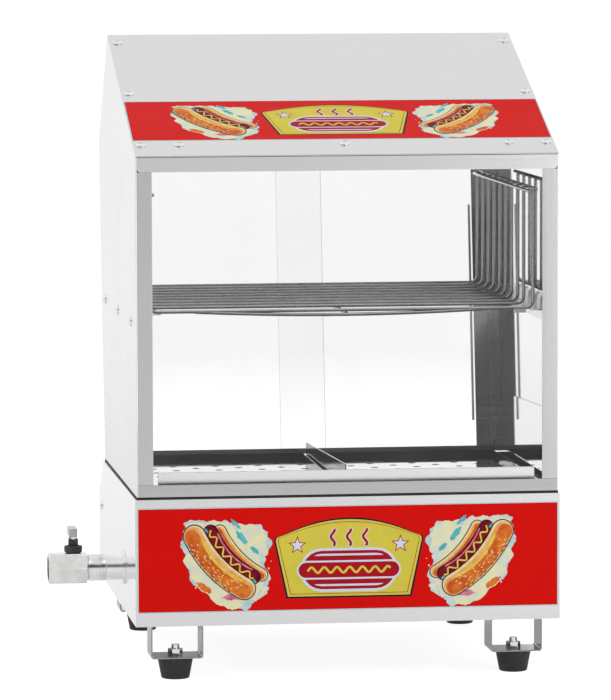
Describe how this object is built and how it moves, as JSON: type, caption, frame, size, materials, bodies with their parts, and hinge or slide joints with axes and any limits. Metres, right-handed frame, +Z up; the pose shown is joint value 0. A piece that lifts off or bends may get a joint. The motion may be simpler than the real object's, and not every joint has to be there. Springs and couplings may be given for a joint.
{
  "type": "hot dog steamer",
  "caption": "Countertop hot dog steamer: stainless base with water pan and drain valve, glass-fronted cabinet with sloped roof, bun rack, perforated trays and sliding rear doors.",
  "frame": {"origin": "centre of the overall footprint, drain valve included, on the surface the feet stand on", "axes": "+X to the right seen from the customer's side, +Y from the front window to the rear doors, +Z up"},
  "size_m": [0.5034, 0.4284, 0.631],
  "materials": {
    "brushed_panel": "brushed",
    "polished_steel": "polished",
    "fastener": "satin",
    "nickel": "satin",
    "track_aluminium": "anodised",
    "window_glass": "clear",
    "red_print": "printed gloss",
    "black_rubber": "matte",
    "black_plastic": "fine texture",
    "red_plastic": "gloss",
    "amber_lens": "gloss",
    "cream_plastic": "matte",
    "ptfe": "satin",
    "element_alloy": "oxidised",
    "brass": "machined"
  },
  "bodies": {
    "cabinet": {"base_front": "brushed_panel", "base_sides": "brushed_panel", "base_rear": "brushed_panel", "base_top": "brushed_panel", "base_floor": "brushed_panel", "control_panel": "brushed_panel", "side_screws": "fastener", "base_banner": "red_print", "foot_brackets": "brushed_panel", "rubber_feet": "black_rubber", "foot_bolts": "fastener", "foot_nuts": "fastener", "water_pan": "polished_steel", "pan_gasket": "black_rubber", "heating_element": "element_alloy", "element_flange": "brass", "drain_pipe": "polished_steel", "drain_collars": "polished_steel", "drain_coupling": "nickel", "valve_body": "nickel", "valve_seats": "ptfe", "thermostat_body": "cream_plastic", "switch_housing": "black_plastic", "pilot_lamp": "amber_lens", "cable_gland": "black_plastic", "terminal_block": "cream_plastic", "tray_divider": "polished_steel", "front_guard": "brushed_panel", "rack_ledges": "polished_steel", "cabinet_sides": "brushed_panel", "side_liners": "brushed_panel", "roof_panel": "brushed_panel", "rear_hood": "brushed_panel", "front_posts": "brushed_panel", "front_bar_top": "brushed_panel", "front_bar_bottom": "brushed_panel", "front_glass": "window_glass", "glass_retainers": "polished_steel", "rear_posts": "brushed_panel", "rear_bar_top": "brushed_panel", "rear_bar_bottom": "brushed_panel", "track_top": "track_aluminium", "track_bottom": "track_aluminium", "roof_banner": "red_print", "roof_screws": "fastener"},
    "valve": {"valve_ball": "nickel", "valve_lever": "black_plastic", "valve_handle": "nickel", "valve_screw": "fastener"},
    "dial": {"thermostat_shaft": "fastener", "thermostat_knob": "black_plastic"},
    "rocker": {"switch_rocker": "red_plastic"},
    "left_door": {"door_left": "window_glass", "pull_left": "track_aluminium"},
    "right_door": {"door_right": "window_glass", "pull_right": "track_aluminium"},
    "left_tray": {"tray_left": "polished_steel"},
    "right_tray": {"tray_right": "polished_steel"},
    "bun_rack": {"rack_floor": "polished_steel", "rack_sides": "polished_steel"}
  },
  "joints": [
    {"name": "drain_valve_turn", "type": "hinge", "parent": "cabinet", "child": "valve", "pos_m": [-0.2263, -0.09275, 0.1], "axis": [0, 0, 1], "range_deg": [0, 90]},
    {"name": "thermostat_turn", "type": "hinge", "parent": "cabinet", "child": "dial", "pos_m": [-0.0727, 0.17325, 0.1625], "axis": [0, 0.6051, 0.7962], "range_deg": [-270, 0]},
    {"name": "power_rocker", "type": "hinge", "parent": "cabinet", "child": "rocker", "pos_m": [0.1473, 0.17234, 0.16131], "axis": [1, 0, 0], "range_deg": [0, 14]},
    {"name": "left_door_slide", "type": "slide", "parent": "cabinet", "child": "left_door", "axis": [1, 0, 0], "range_m": [0, 0.145]},
    {"name": "right_door_slide", "type": "slide", "parent": "cabinet", "child": "right_door", "axis": [-1, 0, 0], "range_m": [0, 0.145]},
    {"name": "left_tray_lift", "type": "slide", "parent": "cabinet", "child": "left_tray", "axis": [0, 0, 1], "range_m": [0, 0.06]},
    {"name": "right_tray_lift", "type": "slide", "parent": "cabinet", "child": "right_tray", "axis": [0, 0, 1], "range_m": [0, 0.06]},
    {"name": "bun_rack_lift", "type": "slide", "parent": "cabinet", "child": "bun_rack", "axis": [0, 0, 1], "range_m": [0, 0.03]}
  ]
}
